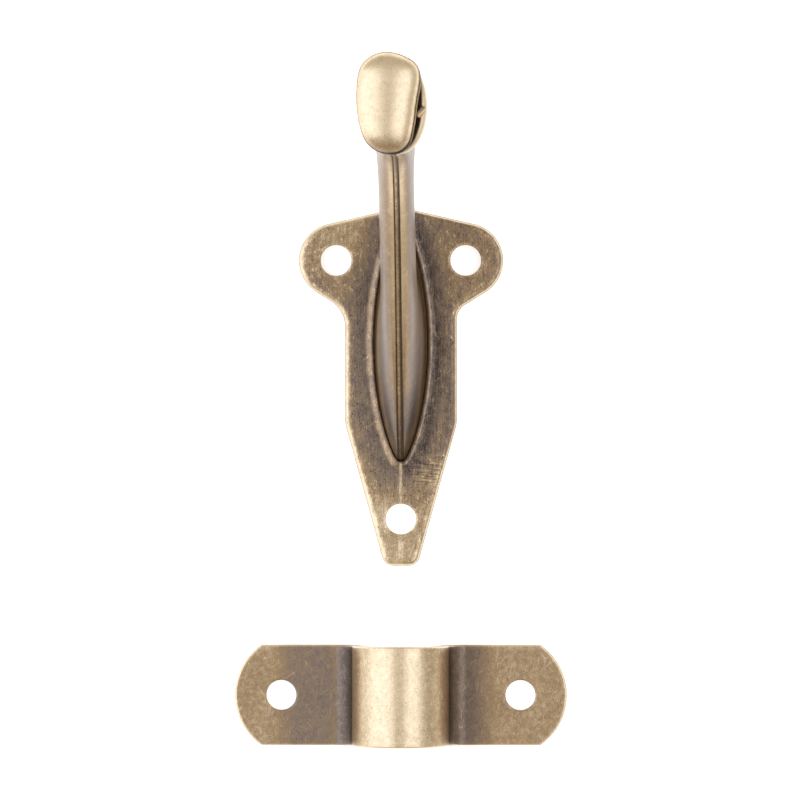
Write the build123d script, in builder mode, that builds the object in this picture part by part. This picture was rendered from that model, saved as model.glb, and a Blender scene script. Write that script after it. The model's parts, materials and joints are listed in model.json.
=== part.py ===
"""Handrail bracket of pressed steel, lying on its back, with its loose rail strap laid below it.

Axes, in millimetres: +X to the right, +Y up the wall, +Z out from the wall. The origin is on the
back face of the wall plate, midway between the two upper screw holes.
"""

import math
import os

from build123d import *

# ---- wall plate ----
PLATE_THICK = 2.0
PLATE_EDGE_ROUND = 1.1
SCREW_RADIUS = 2.9
SCREW_HALF_SPACING = 12.3
LOWER_SCREW_Y = -49.1
LOBE_RADIUS = 7.1
LOBE_TOP_SLOPE = math.radians(13)
WAIST_HALF_WIDTH = 10.6
WAIST_LOW_Y = -31.0
LOBE_FLARE = math.radians(32)
RIGHT_THROAT_ROUND = 3.2
LEFT_THROAT_ROUND = 6.0
SHOULDER_ROUND = 6.0
APEX_ROUND = 9.0
TOE_Y = -58.0
TOE_HALF_WIDTH = 3.1
TOE_ROUND = 2.2
LIP_WIDTH = 1.2
LIP_HEIGHT = 0.35
LIP_CHAMFER = 0.21
CREASE_HALF_WIDTH = 0.4
CREASE_HEIGHT = 0.12
OVERLAP = 0.1

# ---- arm: a front and a rear ridge in the middle plane, with a section between them at every station ----
FOOT_HALF_LENGTH = 22.45
FOOT_HALF_WIDTH = 5.15
LENS_SHARP = 1.55
FOOT_Y = -15.6
BARREL_LOW_Y = 17.6
BARREL_TOP_Y = 34.9
BARREL_START_Z = 54.0
SHELL_THICK = 1.0
CORE_HALF_THICK = 0.5
CORE_RECESS = 0.25
MOUTH_Z = 72.0
SLOT_GAP = 1.0
FRONT_RIDGE = [
    (FOOT_Y - FOOT_HALF_LENGTH, PLATE_THICK),
    (-24.0, 20.0),
    (BARREL_LOW_Y, 30.0),
    (BARREL_LOW_Y, BARREL_START_Z),
]
REAR_RIDGE = [
    (FOOT_Y + FOOT_HALF_LENGTH, PLATE_THICK),
    (-12.0, 9.0),
    (29.0, 30.0),
    (BARREL_TOP_Y, BARREL_START_Z),
]
# Station along the ridges, right and left half width, and how pointed the section's ends are: 2 gives
# a lens, 1 an ellipse, and less than 1 a rounded slot.
STATIONS = [
    (0.00, FOOT_HALF_WIDTH, FOOT_HALF_WIDTH, LENS_SHARP),
    (0.10, 4.4, 4.5, 1.35),
    (0.24, 3.6, 3.75, 1.05),
    (0.40, 3.25, 3.45, 0.85),
    (0.56, 3.15, 3.45, 0.8),
    (0.72, 3.2, 3.55, 0.8),
    (0.86, 3.8, 4.0, 0.85),
    (1.00, 4.8, 4.8, 0.9),
]
# Distance out along the straight barrel, right half width and left half width.
BARREL_STATIONS = [
    (5.0, 5.05, 4.95),
    (11.0, 5.6, 5.1),
    (15.0, 6.15, 5.5),
    (MOUTH_Z - BARREL_START_Z, 6.6, 5.95),
]
BARREL_SHARP = 0.85
SECTION_STEPS = 8

# ---- end cap: an egg that sits off to the left of the barrel ----
CAP_OUTLINE = [
    (-0.2, 35.95),
    (-3.4, 35.45),
    (-5.8, 33.2),
    (-6.5, 29.1),
    (-6.2, 24.0),
    (-4.9, 20.0),
    (-2.5, 18.0),
    (0.8, 17.6),
    (3.1, 19.3),
    (4.0, 22.5),
    (4.6, 27.0),
    (5.15, 31.4),
    (3.8, 34.3),
]
CAP_EDGE_HEIGHT = 1.5
CAP_DOME_STEPS = [(0.6, 0.985), (1.3, 0.9), (1.8, 0.72)]

# ---- tie tab: the right shell's lip turned in to meet the cap ----
TAB_LENGTH = 2.2
TAB_WIDTH = 0.9
TAB_ANGLE = 50.0
TAB_X = 5.0
TAB_Y = 25.3
TAB_DEPTH = 1.6

# ---- rail strap ----
STRAP_Y = -82.5
STRAP_WIDTH = 19.05
STRAP_HALF_LENGTH = 31.5
STRAP_THICK = 1.9
STRAP_SCREW_RADIUS = 2.85
STRAP_SCREW_X = 22.7
STRAP_END_RADIUS = 11.5
ARCH_INNER_RADIUS = 7.25
ARCH_SPRING_Z = 5.4
STRAP_BEND_RADIUS = 3.4


def bezier(handles, t):
    """Point at t, from 0 to 1, on the cubic curve with these four (y, z) handles."""
    weights = [(1 - t) ** 3, 3 * t * (1 - t) ** 2, 3 * t * t * (1 - t), t**3]
    return tuple(sum(w * h[i] for w, h in zip(weights, handles)) for i in (0, 1))


def section_plane(front, rear):
    """Plane through a front and a rear ridge point. Its own x runs from the front one to the rear one."""
    (fy, fz), (ry, rz) = front, rear
    return Plane(
        origin=(0, (fy + ry) / 2, (fz + rz) / 2),
        x_dir=(0, ry - fy, rz - fz),
        z_dir=(0, fz - rz, ry - fy),
    )


def all_stations(side):
    """Every station of one shell: its plane, half depth, half width and end sharpness."""
    found = []
    for t, right_width, left_width, sharp in STATIONS:
        front, rear = bezier(FRONT_RIDGE, t), bezier(REAR_RIDGE, t)
        width = right_width if side > 0 else left_width
        found.append((section_plane(front, rear), math.dist(front, rear) / 2, width, sharp))
    for out, right_width, left_width in BARREL_STATIONS:
        z = BARREL_START_Z + out
        plane = section_plane((BARREL_LOW_Y, z), (BARREL_TOP_Y, z))
        width = right_width if side > 0 else left_width
        found.append((plane, (BARREL_TOP_Y - BARREL_LOW_Y) / 2, width, BARREL_SHARP))
    return found


def half_section(side, depth, width, sharp, inset=0.0):
    """Points of one half of a section, from the front ridge round the flank to the rear ridge."""
    tip_inset = inset * (1 + 1.1 * max(sharp - 1, 0))
    points = []
    for step in range(SECTION_STEPS + 1):
        angle = math.pi * step / SECTION_STEPS
        bulge = (width - inset - CORE_HALF_THICK) * abs(math.sin(angle)) ** sharp
        points.append((-(depth - tip_inset) * math.cos(angle), -side * (CORE_HALF_THICK + bulge)))
    return points


def loft_half(side, inset=0.0):
    """Solid half of the arm on one side of the core, set in by inset all round, from the plate's front out."""
    with BuildPart() as half:
        for plane, depth, width, sharp in all_stations(side):
            points = half_section(side, depth, width, sharp, inset)
            with BuildSketch(plane):
                with BuildLine():
                    Spline(*points)
                    Line(points[-1], points[0])
                make_face()
        loft()
    return half.part


def foot_half(side, inset=0.0, below=0.0):
    """The arm's foot, which fills the plate's opening, on one side of the core."""
    points = half_section(side, FOOT_HALF_LENGTH, FOOT_HALF_WIDTH, LENS_SHARP, inset)
    low_y, high_y = FOOT_Y - FOOT_HALF_LENGTH, FOOT_Y + FOOT_HALF_LENGTH
    with BuildPart() as foot:
        with BuildSketch(section_plane((low_y, -below), (high_y, -below))):
            with BuildLine():
                Spline(*points)
                Line(points[-1], points[0])
            make_face()
        extrude(amount=PLATE_THICK + below)
    return foot.part


def wall_plate():
    """Pressed plate: three screw lobes, a lens-shaped opening with a raised lip, and a centre crease."""
    lobe_top = (
        SCREW_HALF_SPACING + LOBE_RADIUS * math.sin(LOBE_TOP_SLOPE),
        LOBE_RADIUS * math.cos(LOBE_TOP_SLOPE),
    )
    apex = (0, lobe_top[1] + lobe_top[0] * math.tan(LOBE_TOP_SLOPE))
    lobe_low = (
        SCREW_HALF_SPACING + LOBE_RADIUS * math.sin(LOBE_FLARE),
        -LOBE_RADIUS * math.cos(LOBE_FLARE),
    )
    throat = (WAIST_HALF_WIDTH, lobe_low[1] - (lobe_low[0] - WAIST_HALF_WIDTH) * math.tan(LOBE_FLARE))
    with BuildPart() as plate:
        with BuildSketch():
            with BuildLine():
                Line(apex, lobe_top)
                ThreePointArc(lobe_top, (SCREW_HALF_SPACING + LOBE_RADIUS, 0), lobe_low)
                Polyline(lobe_low, throat, (WAIST_HALF_WIDTH, WAIST_LOW_Y), (TOE_HALF_WIDTH, TOE_Y), (0, TOE_Y))
                mirror(about=Plane.YZ)
            make_face()
            for place, radius in plate_corners(throat, apex):
                fillet(vertices_near(vertices(), place), radius)
        extrude(amount=PLATE_THICK)
        fillet(edges().group_by(Axis.Z)[-1], PLATE_EDGE_ROUND)
        with BuildSketch(Plane.XY.offset(PLATE_THICK - OVERLAP)):
            add(lens_face(-LIP_WIDTH))
        extrude(amount=LIP_HEIGHT + OVERLAP)
        chamfer(edges().group_by(Axis.Z)[-1], LIP_CHAMFER)
        with BuildSketch(Plane.XZ.offset(-crease_start())):
            Polygon(
                (-CREASE_HALF_WIDTH, PLATE_THICK - OVERLAP),
                (CREASE_HALF_WIDTH, PLATE_THICK - OVERLAP),
                (0, PLATE_THICK + CREASE_HEIGHT),
                align=None,
            )
        extrude(amount=crease_start() - TOE_Y - PLATE_EDGE_ROUND)
        with BuildSketch():
            add(lens_face())
            with Locations((-SCREW_HALF_SPACING, 0), (SCREW_HALF_SPACING, 0), (0, LOWER_SCREW_Y)):
                Circle(SCREW_RADIUS)
        extrude(amount=PLATE_THICK + LIP_HEIGHT, mode=Mode.SUBTRACT)
    return plate.part


def plate_corners(throat, apex):
    """The plate outline's corners, as the point and the radius that rounds it."""
    found = [(apex, APEX_ROUND)]
    for side, throat_round in ((1, RIGHT_THROAT_ROUND), (-1, LEFT_THROAT_ROUND)):
        found.append(((side * throat[0], throat[1]), throat_round))
        found.append(((side * WAIST_HALF_WIDTH, WAIST_LOW_Y), SHOULDER_ROUND))
        found.append(((side * TOE_HALF_WIDTH, TOE_Y), TOE_ROUND))
    return found


def vertices_near(candidates, place):
    """The one of the candidates that stands nearest to a place in the sketch."""
    return candidates.sort_by_distance((place[0], place[1], 0))[0]


def crease_start():
    """Where the plate's centre crease begins, just below the opening's lip."""
    return FOOT_Y - FOOT_HALF_LENGTH - LIP_WIDTH


def lens_face(inset=0.0):
    """The plate's lens-shaped opening as a face: the outline of the arm's foot. Its lip has an inset below 0."""
    with BuildSketch() as lens:
        with BuildLine():
            for side in (1, -1):
                points = half_section(side, FOOT_HALF_LENGTH, FOOT_HALF_WIDTH, LENS_SHARP, inset)
                Spline(*[(-across, FOOT_Y + along) for along, across in points])
            for along in (points[0][0], points[-1][0]):
                Line((-CORE_HALF_THICK, FOOT_Y + along), (CORE_HALF_THICK, FOOT_Y + along))
        make_face()
    return lens.sketch


def arm_shell(side):
    """One pressed half of the hollow arm: side 1 is the right one, -1 the left one."""
    with BuildPart() as shell:
        add(loft_half(side))
        add(foot_half(side))
        add(loft_half(side, SHELL_THICK), mode=Mode.SUBTRACT)
        add(foot_half(side, SHELL_THICK, below=PLATE_THICK), mode=Mode.SUBTRACT)
        if side > 0:
            with BuildSketch(Plane.XY.offset(MOUTH_Z - SLOT_GAP)):
                with Locations((0, (BARREL_LOW_Y + BARREL_TOP_Y) / 2)):
                    Circle(BARREL_TOP_Y - BARREL_LOW_Y)
            extrude(amount=2 * SLOT_GAP, mode=Mode.SUBTRACT)
            add(tie_tab())
    return shell.part


def tie_tab():
    """Small tab from the right shell's lip across the slot to the back of the cap."""
    with BuildPart() as tab:
        with BuildSketch(Plane.XY.offset(MOUTH_Z - TAB_DEPTH)):
            with Locations(Location((TAB_X, TAB_Y, 0), (0, 0, TAB_ANGLE))):
                Rectangle(TAB_LENGTH, TAB_WIDTH)
        extrude(amount=TAB_DEPTH)
    return tab.part


def arm_core():
    """Flat core between the two shells, cut to the arm's side view. Its edge is the band on the front ridge."""
    front, rear = [], []
    for plane, depth, _, _ in all_stations(1):
        for ridge, sign in ((front, -1), (rear, 1)):
            point = plane.from_local_coords((sign * (depth - CORE_RECESS), 0, 0))
            ridge.append((point.Y, point.Z))
    with BuildPart() as core:
        with BuildSketch(Plane.YZ):
            with BuildLine():
                Spline(*front)
                Spline(*rear)
                Line(front[-1], rear[-1])
                Polyline(front[0], (front[0][0], 0), (rear[0][0], 0), rear[0])
            make_face()
        extrude(amount=CORE_HALF_THICK, both=True)
    return core.part


def end_cap():
    """Domed egg-shaped cap that closes the barrel's mouth."""
    middle = (
        sum(x for x, _ in CAP_OUTLINE) / len(CAP_OUTLINE),
        sum(y for _, y in CAP_OUTLINE) / len(CAP_OUTLINE),
    )
    levels = [(0.0, 0.985), (CAP_EDGE_HEIGHT * 0.5, 1.0)]
    levels += [(CAP_EDGE_HEIGHT + rise, scale) for rise, scale in CAP_DOME_STEPS]
    with BuildPart() as cap:
        for height, scale in levels:
            with BuildSketch(Plane.XY.offset(MOUTH_Z + height)):
                with BuildLine():
                    Spline(
                        *[
                            (middle[0] + (x - middle[0]) * scale, middle[1] + (y - middle[1]) * scale)
                            for x, y in CAP_OUTLINE
                        ],
                        periodic=True,
                    )
                make_face()
        loft()
    return cap.part


def rail_strap():
    """Strap bent from flat bar: two screw ears and an arch that goes round the barrel."""
    outer_radius = ARCH_INNER_RADIUS + STRAP_THICK
    bend_x = outer_radius + STRAP_BEND_RADIUS
    low_bend = STRAP_BEND_RADIUS + STRAP_THICK
    inner_spring = (ARCH_INNER_RADIUS, ARCH_SPRING_Z)
    outer_spring = (outer_radius, ARCH_SPRING_Z)
    ear_x = STRAP_HALF_LENGTH - STRAP_END_RADIUS
    with BuildPart() as strap:
        with BuildSketch(Plane.XZ.offset(-STRAP_Y)):
            with BuildLine():
                Line((STRAP_HALF_LENGTH, 0), (bend_x, 0))
                RadiusArc((bend_x, 0), (ARCH_INNER_RADIUS, low_bend), low_bend)
                Line((ARCH_INNER_RADIUS, low_bend), inner_spring)
                RadiusArc(inner_spring, (0, ARCH_SPRING_Z + ARCH_INNER_RADIUS), -ARCH_INNER_RADIUS)
                Line((STRAP_HALF_LENGTH, 0), (STRAP_HALF_LENGTH, STRAP_THICK))
                Line((STRAP_HALF_LENGTH, STRAP_THICK), (bend_x, STRAP_THICK))
                RadiusArc((bend_x, STRAP_THICK), (outer_radius, low_bend), STRAP_BEND_RADIUS)
                Line((outer_radius, low_bend), outer_spring)
                RadiusArc(outer_spring, (0, ARCH_SPRING_Z + outer_radius), -outer_radius)
                mirror(about=Plane.YZ)
            make_face()
        extrude(amount=STRAP_WIDTH / 2, both=True)
        with BuildSketch():
            with Locations((0, STRAP_Y)):
                Rectangle(2 * ear_x, STRAP_WIDTH)
            with Locations((-ear_x, STRAP_Y), (ear_x, STRAP_Y)):
                Circle(STRAP_END_RADIUS)
            with Locations((0, STRAP_Y)):
                Rectangle(2 * STRAP_HALF_LENGTH, STRAP_WIDTH, mode=Mode.INTERSECT)
        extrude(amount=ARCH_SPRING_Z + 2 * outer_radius, mode=Mode.INTERSECT)
        with BuildSketch():
            with Locations((-STRAP_SCREW_X, STRAP_Y), (STRAP_SCREW_X, STRAP_Y)):
                Circle(STRAP_SCREW_RADIUS)
        extrude(amount=STRAP_THICK, mode=Mode.SUBTRACT)
    return strap.part


def main():
    """Makes every piece and writes one STEP file for each."""
    pieces = {
        "wall_plate": wall_plate(),
        "arm_right_shell": arm_shell(1),
        "arm_left_shell": arm_shell(-1),
        "arm_core": arm_core(),
        "end_cap": end_cap(),
        "rail_strap": rail_strap(),
    }
    os.makedirs("parts", exist_ok=True)
    for name, piece in pieces.items():
        piece.label = name
        export_step(piece, f"parts/{name}.step")
        print(f"{name}: {len(piece.solids())} solid, {piece.volume:.0f} mm3")


if __name__ == "__main__":
    main()
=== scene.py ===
"""Looks of an antique-brass handrail bracket and its loose rail strap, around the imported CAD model.

Shapes are worked out in millimetres and handed to Blender in metres, in the CAD model's frame:
+X to the right, +Y up the wall, +Z out from the wall, with Z = 0 at the wall plate's back.
"""

import json
import math

import bpy
import numpy as np
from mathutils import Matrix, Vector
from mathutils.geometry import delaunay_2d_cdt


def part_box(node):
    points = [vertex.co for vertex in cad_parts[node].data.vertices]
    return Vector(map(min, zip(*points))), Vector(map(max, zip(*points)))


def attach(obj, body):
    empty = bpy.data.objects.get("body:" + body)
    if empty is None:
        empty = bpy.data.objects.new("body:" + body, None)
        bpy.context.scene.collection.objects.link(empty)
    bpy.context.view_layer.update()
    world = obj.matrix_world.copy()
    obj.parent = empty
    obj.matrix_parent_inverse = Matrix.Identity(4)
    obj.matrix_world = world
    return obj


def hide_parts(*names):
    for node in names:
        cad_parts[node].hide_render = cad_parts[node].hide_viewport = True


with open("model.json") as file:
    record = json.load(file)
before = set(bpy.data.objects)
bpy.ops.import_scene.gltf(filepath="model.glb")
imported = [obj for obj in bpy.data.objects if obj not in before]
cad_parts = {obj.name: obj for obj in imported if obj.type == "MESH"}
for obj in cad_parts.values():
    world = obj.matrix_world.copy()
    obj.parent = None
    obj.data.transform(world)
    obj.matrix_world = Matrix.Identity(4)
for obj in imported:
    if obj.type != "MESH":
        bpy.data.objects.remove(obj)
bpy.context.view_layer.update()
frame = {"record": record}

MM = 0.001
# Folds sharper than this stay sharp, and grid points keep this clear of the rings along an edge.
SHARP_ANGLE = math.radians(42)
RING_CLEARANCE = 0.25


def box_mm(node):
    """Lowest and highest corner of a CAD node, in millimetres."""
    low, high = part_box(node)
    return np.array(low) / MM, np.array(high) / MM


mounts = {mount["name"]: mount for mount in frame["record"]["mounts"]}

# ---- wall plate ----
plate_low, plate_high = box_mm("wall_plate")
PLATE_THICK = 2.0
PLATE_EDGE_ROUND = 1.1
BACK_EDGE_ROUND = 0.15
HOLE_ROUND = 0.28
SCREW_HALF_SPACING = mounts["upper_screws"]["dims"]["spacing_x_mm"] / 2
SCREW_RADIUS = mounts["upper_screws"]["dims"]["hole_r_mm"]
LOWER_SCREW_Y = mounts["lower_screw"]["pos_m"][1] / MM
LOBE_RADIUS = plate_high[0] - SCREW_HALF_SPACING
LOBE_TOP_SLOPE = math.radians(13)
LOBE_FLARE = math.radians(32)
WAIST_HALF_WIDTH = 10.6
WAIST_LOW_Y = -31.0
RIGHT_THROAT_ROUND = 3.2
LEFT_THROAT_ROUND = 6.0
SHOULDER_ROUND = 6.0
APEX_ROUND = 9.0
TOE_Y = plate_low[1]
TOE_HALF_WIDTH = 3.1
TOE_ROUND = 2.2
COLLAR_HEIGHT = plate_high[2] - PLATE_THICK
COLLAR_WIDTH = 1.5
COLLAR_ROUND = 0.25
COLLAR_RINGS = [0.7, 0.95, 1.2, 1.45, 1.75, 2.1]
CREASE_HALF_WIDTH = 0.3
CREASE_HEIGHT = 0.09
CREASE_TOP_FADE = 0.5
CREASE_TOE_FADE = (0.2, 1.6)
CREASE_COLUMNS = np.array([-3.4, -2.4, -1.6, -1.0, -0.5, 0.0, 0.5, 1.0, 1.6, 2.4, 3.4])
CREASE_STRIP = 1.4
CREASE_STEP = 0.35
HOLE_POINTS = 72
HOLE_FLAT_RING = 0.6
OUTLINE_STEP = 0.3
LENS_STEP = 0.2
PLATE_GRID = 0.55
PLATE_GRID_LOW = (-20.0, TOE_Y)
PLATE_GRID_HIGH = (20.0, 10.0)
# Distances from an edge over which the plate's finish, its painted highlights and its painted shade change,
# on its left and on its right.
LEFT_RIM = (0.3, 1.0)
RIGHT_RIM = (0.2, 0.6)
SCREW_RIM = (0.1, 0.5)
EDGE_LINE = (0.02, 0.14)
LEFT_LENS_LINE = (0.05, 0.3)
RIGHT_LENS_LINE = (0.2, 0.4)
LIP_LINE = (0.28, 0.42, 0.6, 0.78)
COLLAR_SHINE = (0.2, 0.45, 0.8, 1.8)
BESIDE_LIP = (0.65, 0.9, 1.5, 6.0)
LENS_SHADE = (1.0, 8.5)
WAIST_SHADE = (1.0, 3.0)
# Places across (X) or up the plate (Y) over which its finish, its painted highlights and its painted shade
# change.
LEFT_LOBE_X = (-3.0, -8.0)
LEFT_LOBE_Y = (-5.0, 2.0)
RIGHT_LOBE_X = (-14.0, 6.0)
RIGHT_LOBE_Y = (-12.0, -4.0)
RIGHT_WAIST_X = (2.0, 7.0)
RIGHT_WAIST_Y = (-46.0, -32.0, -14.0, -6.0)
TOE_WEAR_Y = (-46.0, -57.0)
LEFT_OF_SCREW_X = (-1.0, -3.0)
LEFT_OF_SCREW_REACH = 4.0

# ---- arm ----
core_high = box_mm("arm_core")[1]
foot_low = box_mm("arm_right_shell")[0]
FOOT_HALF_LENGTH = 22.45
FOOT_HALF_WIDTH = 5.15
LENS_SHARP = 1.55
FOOT_Y = foot_low[1] + FOOT_HALF_LENGTH
BARREL_LOW_Y = 17.6
BARREL_TOP_Y = 34.9
BARREL_START_Z = 54.0
MOUTH_Z = core_high[2]
RIGHT_MOUTH_Z = MOUTH_Z - 1.0
SHELL_THICK = 1.0
CORE_HALF_THICK = core_high[0]
CORE_RECESS = 0.25
SEAM_ROUND = 0.22
MOUTH_ROUND = 0.2
MOUTH_BEVEL = 1.35
MOUTH_BEAD = 0.85
# Handles (y, z) of the curves that the arm's front and rear ridges follow up to the barrel.
FRONT_RIDGE = [
    (FOOT_Y - FOOT_HALF_LENGTH, PLATE_THICK),
    (-24.0, 20.0),
    (BARREL_LOW_Y, 30.0),
    (BARREL_LOW_Y, BARREL_START_Z),
]
REAR_RIDGE = [
    (FOOT_Y + FOOT_HALF_LENGTH, PLATE_THICK),
    (-12.0, 9.0),
    (29.0, 30.0),
    (BARREL_TOP_Y, BARREL_START_Z),
]
RIDGE_POINTS = 140
RIDGE_CROWDING = 1.4
BARREL_POINTS = 28
# Place along the arm, right half width, left half width, and how pointed the section's ends are. The
# place runs from 0 to 1 along the ridges, and on to 2 at the end of the straight barrel.
SECTIONS = [
    (0.00, FOOT_HALF_WIDTH, FOOT_HALF_WIDTH, LENS_SHARP),
    (0.015, 4.8, 4.85, 1.52),
    (0.04, 4.6, 4.65, 1.47),
    (0.10, 4.4, 4.5, 1.35),
    (0.24, 3.6, 3.75, 1.05),
    (0.40, 3.25, 3.45, 0.85),
    (0.56, 3.15, 3.45, 0.8),
    (0.72, 3.2, 3.55, 0.8),
    (0.86, 3.8, 4.0, 0.85),
    (1.00, 4.8, 4.8, 0.9),
    (1.28, 5.05, 4.95, 0.85),
    (1.61, 5.6, 5.1, 0.85),
    (1.83, 6.15, 5.5, 0.85),
    (2.00, 6.6, 5.95, 0.85),
]
OUTER_STEPS = 56
INNER_STEPS = 28
MOUTH_STEPS = 8
BEAD_DEPTHS = (2.5, 1.0)
LENS_POINTS = 100
CORE_CROWN = 0.14
CORE_EDGE_POINTS = 13
CORE_FOOT_SHADE = (0.03, 0.25)
CORE_RIGHT_LINE_X = (0.05, 0.22)
CORE_LEFT_LINE_X = (-0.3, -0.42)
# Places along the arm over which its joint line opens and its core sinks in, from the foot up.
SEAM_START = (0.0, 0.03)
RECESS_START = (0.0, 0.1)
# Heights over which the arm's finish, its painted highlights and its painted shade change, and distances
# from its middle plane.
CROWN_START_Z = (4.0, 24.0)
CROWN_LEAST = 0.15
CROWN_FADE = (0.7, 2.2)
FOOT_SHADE = (1.0, 2.5, 2.5, 8.0)
HEM_END_Z = (2.2, 3.6)
HEM_START = (1.0, 2.5)
FLANK_START_Z = (20.0, 32.0)
FLANK_START = (1.5, 2.5)
SHEEN_END_Z = (12.0, 20.0)
# The painted sheen on the foot, a painted reflection, as shares of the foot's half width.
SHEEN_PLACE = 0.83
SHEEN_WIDTH = 0.09
# Distances from the core's face, and below the mouth.
SEAM_LINE = (0.05, 0.2)
LIP_WEAR_DEPTHS = (0.5, 0.15)
MOUTH_WALL_DEPTHS = (5.0, 1.0)
RIGHT_FOOT_SHADE = 1.5

# ---- end cap ----
CAP_OUTLINE = [
    (-0.2, 35.95),
    (-3.4, 35.45),
    (-5.8, 33.2),
    (-6.5, 29.1),
    (-6.2, 24.0),
    (-4.9, 20.0),
    (-2.5, 18.0),
    (0.8, 17.6),
    (3.1, 19.3),
    (4.0, 22.5),
    (4.6, 27.0),
    (5.15, 31.4),
    (3.8, 34.3),
]
CAP_SPINE = [(-0.9, 22.6), (-0.4, 31.0)]
CAP_EDGE_HEIGHT = 0.7
CAP_EDGE_ROUND = 0.12
CAP_EDGE_WIDTH = 0.22
CAP_EDGE_LEAST = 0.1
CAP_EDGE_SIDE = np.array([-0.7, 0.7])
CAP_EDGE_FACING = (0.35, 0.85)
CAP_STEPS = 14
CAP_RINGS = 30
CAP_LAST_ANGLE = math.radians(86)
# How dark the painted shade line at the dome's foot is, on each of the cap's lowest rings; it shows only on
# the cap's lower right.
CAP_STEP_LINE = [0, 0, 0, 0, 0, 0.7, 0.5, 0.2]
CAP_LOW_END_Y = (17.0, 22.5)
CAP_RIGHT_X = (-1.0, 3.0)
CAP_STEEP = 0.45
cap_low, cap_high = box_mm("end_cap")

# ---- tie tab ----
TAB_LENGTH = 2.2
TAB_WIDTH = 0.9
TAB_ANGLE = math.radians(50)
TAB_MIDDLE = (5.0, 25.3)
TAB_DEPTH = 1.6
TAB_ROUND = 0.2
TAB_STEP = 0.05
TAB_GRID = 0.15
TAB_TOP_Z = MOUTH_Z

# ---- rail strap ----
strap_low, strap_high = box_mm("rail_strap")
STRAP_Y = mounts["strap_screws"]["pos_m"][1] / MM
STRAP_SCREW_X = mounts["strap_screws"]["dims"]["spacing_x_mm"] / 2
STRAP_SCREW_RADIUS = mounts["strap_screws"]["dims"]["hole_r_mm"]
STRAP_HALF_LENGTH = strap_high[0]
STRAP_HALF_WIDTH = (strap_high[1] - strap_low[1]) / 2
STRAP_THICK = 1.9
STRAP_END_RADIUS = 11.5
STRAP_EDGE_ROUND = 0.35
ARCH_INNER_RADIUS = 7.25
BEND_RADIUS = 3.4
ARCH_SPRING_Z = strap_high[2] - ARCH_INNER_RADIUS - STRAP_THICK
# The flat pattern's stretches along mid thickness: half the arch, the leg, the bend and the ear.
ARCH_MID_RADIUS = ARCH_INNER_RADIUS + STRAP_THICK / 2
BEND_MID_RADIUS = BEND_RADIUS + STRAP_THICK / 2
HALF_ARCH = ARCH_MID_RADIUS * math.pi / 2
STRAP_LEG = ARCH_SPRING_Z - STRAP_THICK - BEND_RADIUS
BEND_ARC = BEND_MID_RADIUS * math.pi / 2
STRAP_EAR = STRAP_HALF_LENGTH - ARCH_INNER_RADIUS - STRAP_THICK - BEND_RADIUS
FLAT_HALF_LENGTH = HALF_ARCH + STRAP_LEG + BEND_ARC + STRAP_EAR
STRAP_GRID = (230, 36)
STRAP_END_POINTS = 60
STRAP_STEP = 0.35
STRAP_RIM = (0.02, 0.14, 0.15, 0.4)
# Distances over which the finish changes: from the arch's foot, and from the bend's end.
LEFT_CROWN_FADE = (-9.0, -2.5)
RIGHT_CROWN_FADE = (-10.5, -4.5)
HOLLOW_START = (-1.0, 0.5)
LEFT_HOLLOW_END = (-2.5, 2.0)
RIGHT_HOLLOW_END = (0.0, 7.0)
INNER_EAR = (-2.5, 1.5, 7.0, 13.0)

# ---- colours of the metal, from the darkest hollow to the brightest edge ----
PATINA = (0.048, 0.035, 0.027, 1)
DULL_LIT_LEFT = (0.215, 0.172, 0.140, 1)
DULL_SHADED_RIGHT = (0.205, 0.150, 0.104, 1)
SEAM_BROWN = (0.13, 0.08, 0.042, 1)
TARNISH = (0.37, 0.255, 0.137, 1)
BRASS = (0.80, 0.67, 0.45, 1)
SEAM_SHARE = 0.75
# Places across the object between which the dull colour goes from the left one to the right one. The left
# one is lighter and greyer, painted light from the cool softbox on the left, and the right one darker and
# browner, painted shade.
DULL_SIDES_X = (-15.0, 15.0)
# How far the metal shows through where patina gives way to dull brass, and dull brass to tarnish.
PATINA_END = 0.25
DULL_END = 0.5
# How mottled the metal stays where the grime_and_shade mark is full: grime, patina and painted shade.
SPECKS_WHERE_DARKENED = 0.45
# Each set of scratches, as its turn in degrees and the shift of its noise.
SCRATCH_TURNS = ((8, 0.5), (-38, 0.6), (55, 0.7))
SCRATCH_STRENGTH = 0.3
# Distances from a brushed patch's middle at which it starts, and is at full strength.
BRUSHED_REACH = (5.2, 2.2)

# ---- camera ----
VIEW_X = -0.2
VIEW_Y = -26.5
VIEW_WIDTH = 152.0
EYE_HEIGHT = 1300.0
EYE_X = 28.0
SENSOR_WIDTH = 36.0

# ---- light and table, with sizes in metres ----
ROOM_COLOUR = (0.62, 0.565, 0.50, 1)
SOFTBOX_TINT = (0.93, 1.0, 1.22)
SOFTBOX_RADIANCE = 1.12
SOFTBOX_DISTANCE = 1.2
LEFT_SOFTBOX_LEAN = -49
LEFT_SOFTBOX_SIZE = (1.6, 1.4)
RIGHT_SOFTBOX_LEAN = 31
RIGHT_SOFTBOX_SIZE = (0.85, 1.4)
TABLE_HALF = 3
TABLE_Z = -0.0002
TABLE_COLOUR = (0.9, 0.9, 0.9, 1)
TABLE_GLOW = 0.6


# ---------------------------------------------------------------- small maths


def smooth_step(low, high, value):
    """Goes from 0 at low to 1 at high, with flat ends."""
    share = np.clip((value - low) / (high - low), 0.0, 1.0)
    return share * share * (3.0 - 2.0 * share)


def band(start, full, fade, end, value):
    """Rises from 0 at start to 1 at full, and falls from 1 at fade to 0 at end."""
    return smooth_step(start, full, value) * (1 - smooth_step(fade, end, value))


def between(left, right, share):
    """The numbers a share of the way from the left ones to the right ones."""
    return [a + (b - a) * share for a, b in zip(left, right)]


def strongest(*patches):
    """The strongest of some (patch, strength) pairs at each point."""
    return np.max([strength * patch for patch, strength in patches], axis=0)


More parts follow.
